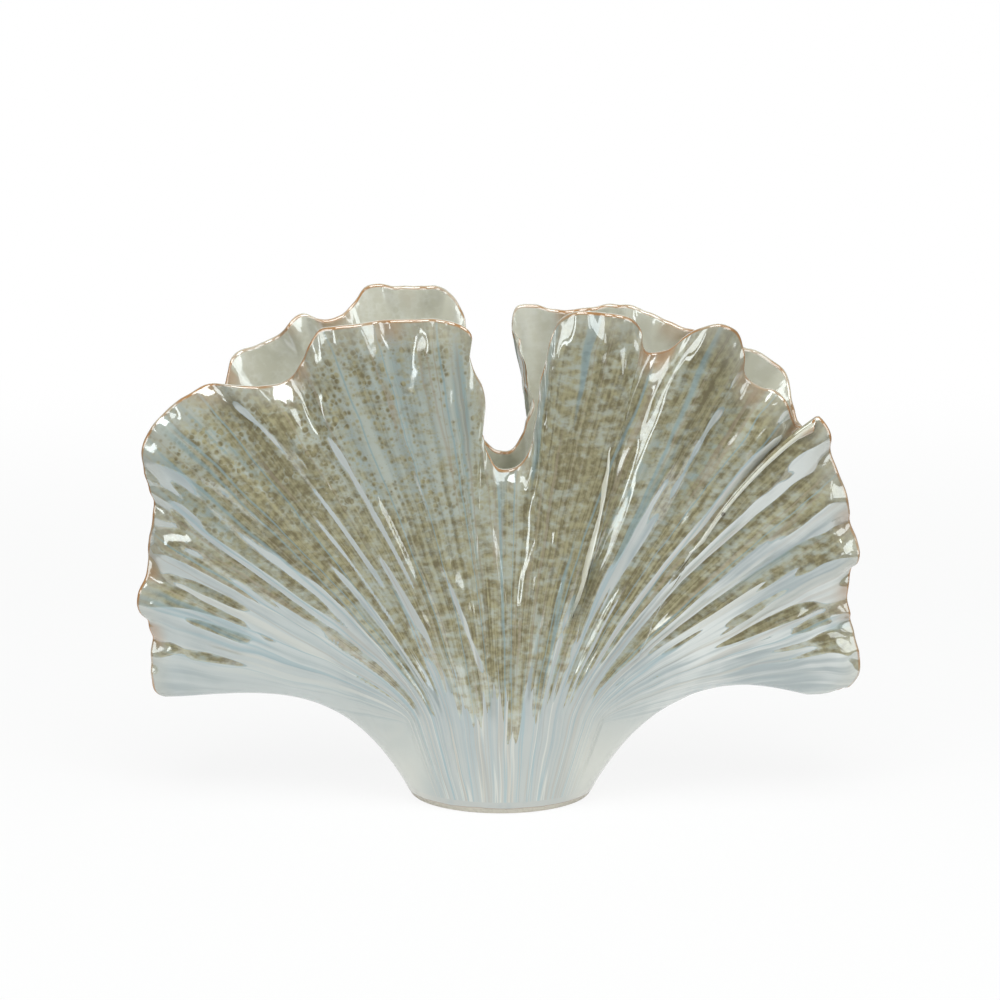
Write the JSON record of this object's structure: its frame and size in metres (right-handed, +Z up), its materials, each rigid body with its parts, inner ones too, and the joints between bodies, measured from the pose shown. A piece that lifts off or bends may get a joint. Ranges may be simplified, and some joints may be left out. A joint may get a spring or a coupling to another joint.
{
  "type": "leaf-shaped vase",
  "caption": "Fan-leaf ceramic vase with fluted walls, ruffled open rim, deep centre notches front and back, pinched side corners and a small oval foot.",
  "frame": {"origin": "on the table, under the middle of the vase's bounding box", "axes": "+Z up, +X across the fan from the left corner to the right corner seen from the front, -Y towards the viewer"},
  "size_m": [0.285, 0.0622, 0.2021],
  "materials": {
    "leaf_glaze": "glossy reactive glaze, olive speckle over grey-blue, paler low down, brown at the rim",
    "inner_glaze": "glossy pale grey-green glaze",
    "foot_clay": "glazed above, bare matt clay where it stands"
  },
  "bodies": {
    "root": {"front_wall": "leaf_glaze", "back_wall": "leaf_glaze", "floor_plate": "inner_glaze", "foot_ring": "foot_clay"}
  },
  "joints": []
}
